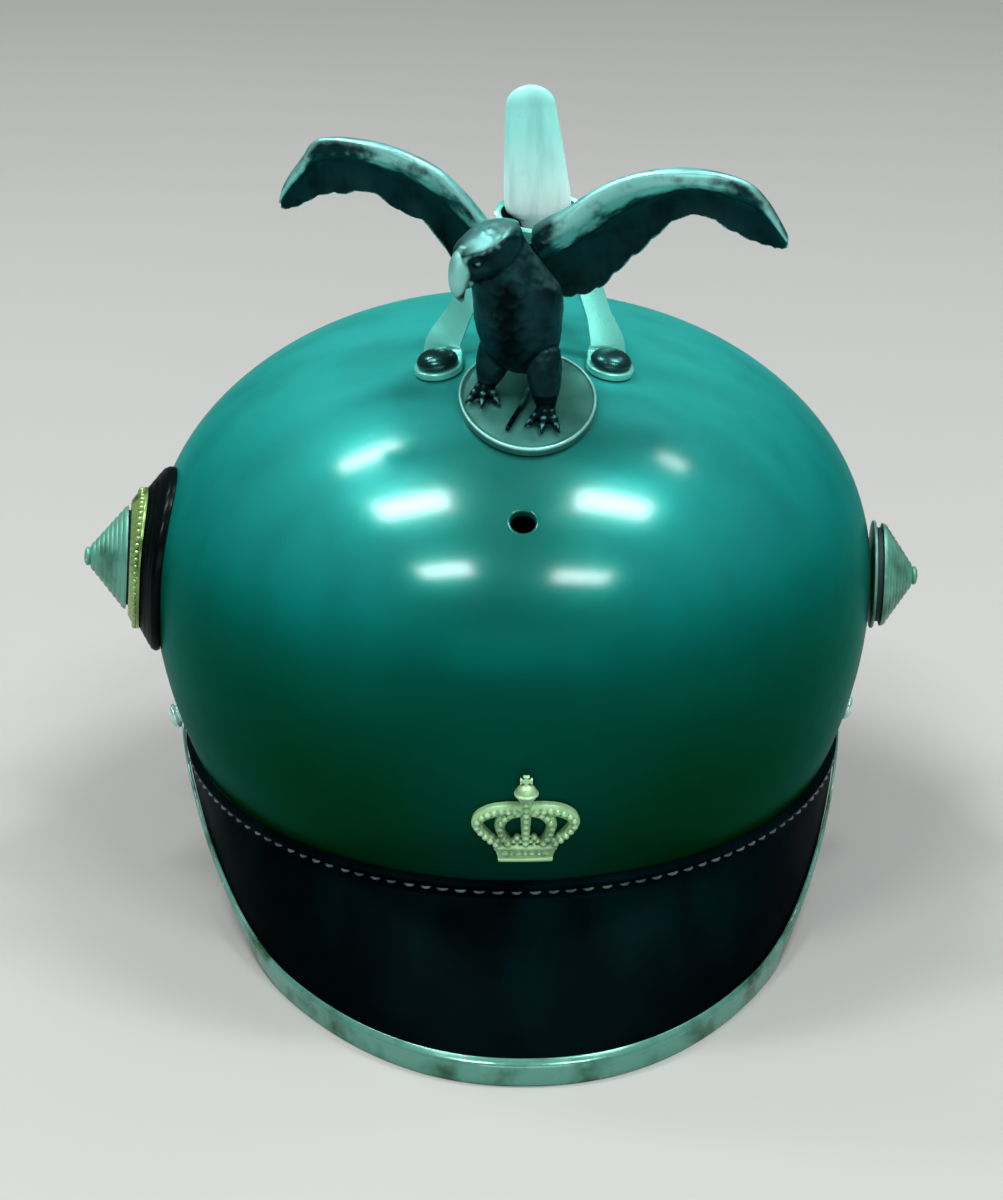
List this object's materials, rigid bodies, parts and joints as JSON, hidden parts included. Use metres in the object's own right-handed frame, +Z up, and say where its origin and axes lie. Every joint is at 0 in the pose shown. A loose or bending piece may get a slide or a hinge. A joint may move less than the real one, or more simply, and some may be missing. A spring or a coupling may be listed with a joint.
{
  "type": "parade helmet",
  "caption": "Glossy leather parade helmet with a stitched patent peak, crown badge, spread eagle on an oval plate, upright plume holder and side rosettes.",
  "frame": {"origin": "middle of the bounding box's base, on the floor the helmet stands on", "axes": "+Z up, the front peak towards -Y, +X to the viewer's right"},
  "size_m": [0.2308, 0.2873, 0.2205],
  "materials": {
    "skull_leather": "glossy lacquered leather, teal above and darker green below",
    "patent_leather": "near-black patent leather",
    "black_leather": "black lacquered leather",
    "nickel_silver": "pale polished metal, lightly tarnished",
    "gilt_metal": "pale gilt metal, worn",
    "dark_bronze": "dark patinated cast metal with rubbed highlights"
  },
  "bodies": {
    "root": {"skull": "skull_leather", "front_peak": "patent_leather", "rear_peak": "patent_leather", "peak_trim": "nickel_silver", "crown_badge": "gilt_metal", "eagle_plate": "dark_bronze", "eagle": "dark_bronze", "plume_bracket": "nickel_silver", "plume_holder": "nickel_silver", "bracket_screw_left": "dark_bronze", "bracket_screw_right": "dark_bronze", "bracket_screw_rear": "dark_bronze", "cockade": "black_leather", "cockade_ring": "gilt_metal", "rosette_left": "nickel_silver", "rosette_right": "nickel_silver", "side_stud_left": "nickel_silver", "side_stud_right": "nickel_silver"}
  },
  "joints": []
}
